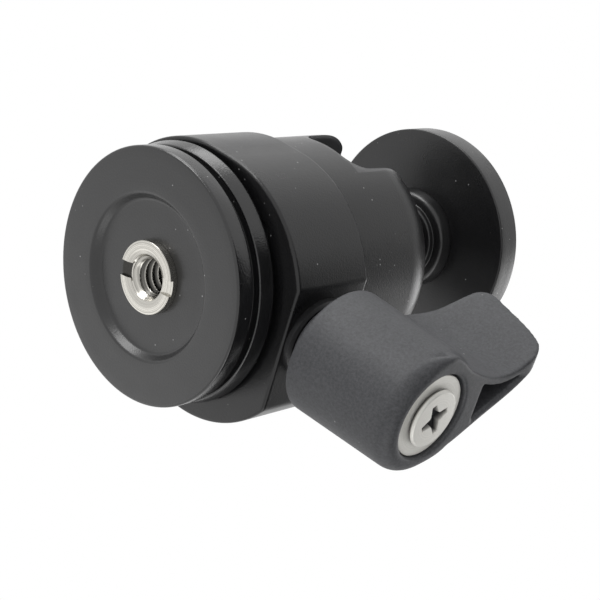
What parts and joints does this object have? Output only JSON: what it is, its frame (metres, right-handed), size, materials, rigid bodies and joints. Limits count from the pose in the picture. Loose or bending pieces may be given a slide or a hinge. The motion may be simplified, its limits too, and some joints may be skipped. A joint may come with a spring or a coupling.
{
  "type": "ball head",
  "caption": "Compact ball head with a threaded round foot, an egg shaped housing with a drop notch, a locking lever knob and a round camera platform with a stud.",
  "frame": {"origin": "centre of the foot's underside, at the mouth of the tripod thread", "axes": "+Z along the head's own axis up to the camera platform, +X towards the lever knob, the drop notch faces -Y"},
  "size_m": [0.0648, 0.04, 0.0728],
  "materials": {
    "black_anodised": "blasted and black anodised, satin",
    "bright_nickel": "bright turned, nickel plated",
    "plain_steel": "satin turned",
    "dark_steel": "blackened",
    "brass": "turned",
    "seat_plastic": "low friction moulding, matt",
    "knob_plastic": "fine grained moulding, matt",
    "pad_rubber": "fine ribbed rubber"
  },
  "bodies": {
    "housing": {"base_disc": "black_anodised", "thread_bushing": "bright_nickel", "foot_ring": "black_anodised", "base_screws": "dark_steel", "lower_housing": "black_anodised", "upper_housing": "black_anodised", "housing_screws": "dark_steel", "upper_seat": "seat_plastic", "shaft_bush": "dark_steel"},
    "wedge": {"lock_wedge": "plain_steel"},
    "cup": {"lower_seat": "seat_plastic"},
    "knob": {"lock_shaft": "plain_steel", "stop_ring": "dark_steel", "knob_lever": "knob_plastic", "knob_insert": "brass", "knob_washer": "plain_steel", "knob_screw": "plain_steel"},
    "ball": {"ball": "black_anodised"},
    "stem": {"ball_stem": "black_anodised"},
    "platform": {"platform_disc": "black_anodised", "platform_pad": "pad_rubber", "camera_stud": "plain_steel"}
  },
  "joints": [
    {"name": "side_tilt", "type": "hinge", "parent": "housing", "child": "ball", "pos_m": [0, 0, 0.038], "axis": [0, 1, 0], "range_deg": [-28, 28]},
    {"name": "drop_tilt", "type": "hinge", "parent": "ball", "child": "stem", "pos_m": [0, 0, 0.038], "axis": [1, 0, 0], "range_deg": [-28, 90]},
    {"name": "platform_spin", "type": "hinge", "parent": "stem", "child": "platform", "pos_m": [0, 0, 0.0626], "axis": [0, 0, 1], "continuous": true},
    {"name": "knob_turn", "type": "hinge", "parent": "wedge", "child": "knob", "pos_m": [0.03, 0, 0.01395], "axis": [1, 0, 0], "range_deg": [0, 180]},
    {"name": "wedge_slide", "type": "slide", "parent": "housing", "child": "wedge", "axis": [1, 0, 0], "range_m": [0, 0.0005]},
    {"name": "cup_lift", "type": "slide", "parent": "housing", "child": "cup", "axis": [0, 0, 1], "range_m": [-0.000135, 0]}
  ],
  "couplings": [
    {"joint": "knob_turn", "follows": "wedge_slide", "rad_per_m": 6283},
    {"joint": "cup_lift", "follows": "wedge_slide", "ratio": -0.26795}
  ]
}
